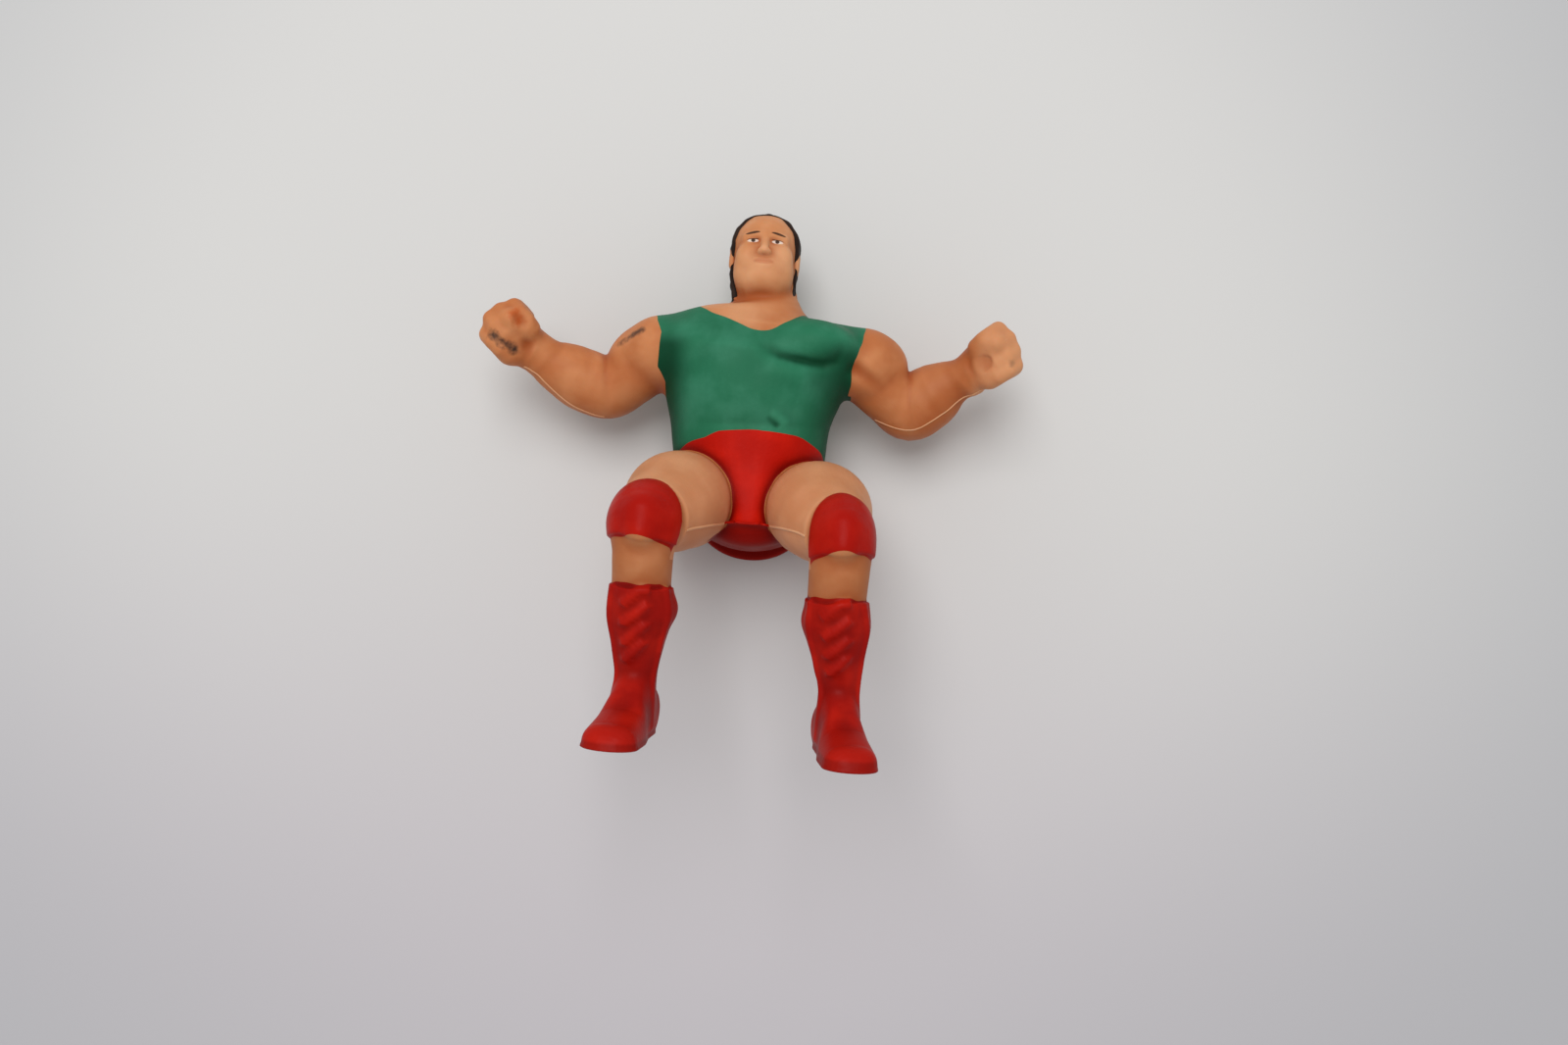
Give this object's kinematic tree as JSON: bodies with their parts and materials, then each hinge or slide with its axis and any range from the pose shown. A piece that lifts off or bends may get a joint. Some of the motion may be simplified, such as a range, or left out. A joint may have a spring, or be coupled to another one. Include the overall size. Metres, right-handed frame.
{
  "type": "rubber thumb wrestler figure",
  "caption": "Small soft rubber wrestler in a sitting crouch with raised fists; a thumb goes into the hollow that opens below its seat.",
  "frame": {"origin": "middle of the flat of the back, which the figure lies on", "axes": "+X towards the figure's left hand, +Y towards its head, +Z out of its chest; it lies on its back with its face up"},
  "size_m": [0.0784, 0.0733, 0.0466],
  "materials": {
    "skin_rubber": "satin",
    "green_paint": "satin",
    "red_paint": "satin",
    "hair_paint": "satin"
  },
  "bodies": {
    "root": {"head": "skin_rubber", "hair": "hair_paint", "shirt": "green_paint", "trunks": "red_paint", "right_upper_arm": "skin_rubber", "left_upper_arm": "skin_rubber", "right_forearm": "skin_rubber", "left_forearm": "skin_rubber", "right_fist": "skin_rubber", "left_fist": "skin_rubber", "right_thigh": "skin_rubber", "left_thigh": "skin_rubber", "right_knee_pad": "red_paint", "left_knee_pad": "red_paint", "right_shin": "skin_rubber", "left_shin": "skin_rubber", "right_boot": "red_paint", "left_boot": "red_paint"}
  },
  "joints": []
}
